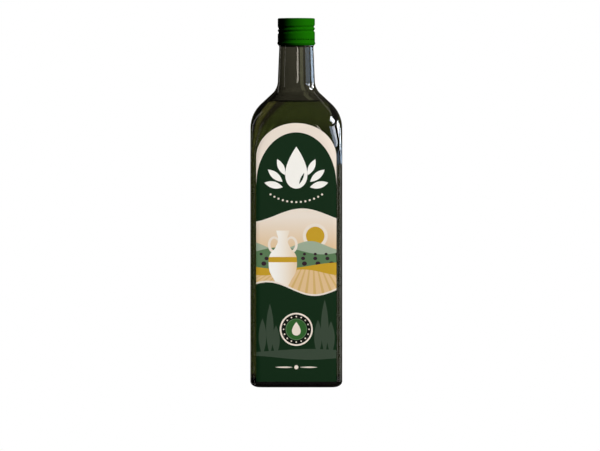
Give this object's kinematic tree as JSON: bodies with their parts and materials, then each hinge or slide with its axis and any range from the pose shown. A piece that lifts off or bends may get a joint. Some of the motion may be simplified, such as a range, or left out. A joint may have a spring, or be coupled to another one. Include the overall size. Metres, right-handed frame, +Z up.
{
  "type": "olive oil bottle",
  "caption": "Tall square dark glass bottle with rounded corners, filled with olive oil, with an arched front label and a rolled-on green metal screw cap.",
  "frame": {"origin": "middle of the base, on the surface that the bottle stands on", "axes": "+Z up along the neck, -Y out of the labelled front face, +X to the right as the label is seen"},
  "size_m": [0.068, 0.0684, 0.2735],
  "materials": {
    "glass": "moulded dark green bottle glass, smooth and glossy",
    "oil": "clear golden green olive oil",
    "label": "printed coated paper, satin",
    "cap": "rolled aluminium with a green satin lacquer"
  },
  "bodies": {
    "root": {"glass_bottle": "glass", "oil": "oil", "label": "label", "screw_cap": "cap"}
  },
  "joints": []
}
